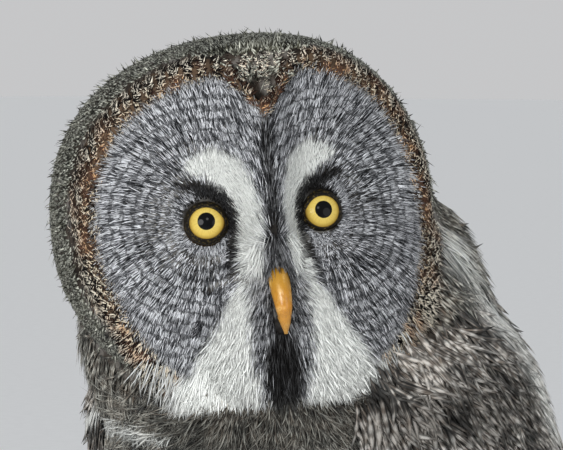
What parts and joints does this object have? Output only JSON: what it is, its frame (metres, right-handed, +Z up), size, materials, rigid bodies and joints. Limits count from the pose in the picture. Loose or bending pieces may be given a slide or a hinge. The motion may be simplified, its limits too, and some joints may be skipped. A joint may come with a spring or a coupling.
{
  "type": "great grey owl",
  "caption": "Life-size great grey owl as a still display model, standing with folded wings and its head turned to its left.",
  "frame": {"origin": "on the ground, under the middle of the bird's bounding box", "axes": "+Z up; the body faces -Y and the bird's left side is +X; the face is turned about 54 degrees from -Y towards +X"},
  "size_m": [0.2288, 0.5166, 0.4562],
  "materials": {
    "plumage_grey": "soft barred grey plumage",
    "plumage_pale": "soft pale grey plumage with dark streaks",
    "flight_feathers": "barred grey-brown flight and tail feathers",
    "facial_feathers": "fine grey feathers with dark concentric rings",
    "iris": "glossy yellow eye with a black pupil",
    "eyelid": "bare dark lid rim",
    "bill_horn": "smooth yellow-orange horn",
    "claw_horn": "smooth black horn"
  },
  "bodies": {
    "root": {"head": "plumage_grey", "neck": "plumage_grey", "torso": "plumage_pale", "tail": "flight_feathers", "facial_disc_left": "facial_feathers", "facial_disc_right": "facial_feathers", "ruff_left": "plumage_pale", "ruff_right": "plumage_pale", "eye_left": "iris", "eye_right": "iris", "eyelid_left": "eyelid", "eyelid_right": "eyelid", "bill_upper": "bill_horn", "bill_lower": "bill_horn", "wing_left": "flight_feathers", "wing_right": "flight_feathers", "thigh_left": "plumage_pale", "thigh_right": "plumage_pale", "tarsus_left": "plumage_pale", "tarsus_right": "plumage_pale", "foot_left": "plumage_pale", "foot_right": "plumage_pale", "claw_left_1": "claw_horn", "claw_left_2": "claw_horn", "claw_left_3": "claw_horn", "claw_left_4": "claw_horn", "claw_right_1": "claw_horn", "claw_right_2": "claw_horn", "claw_right_3": "claw_horn", "claw_right_4": "claw_horn"}
  },
  "joints": []
}
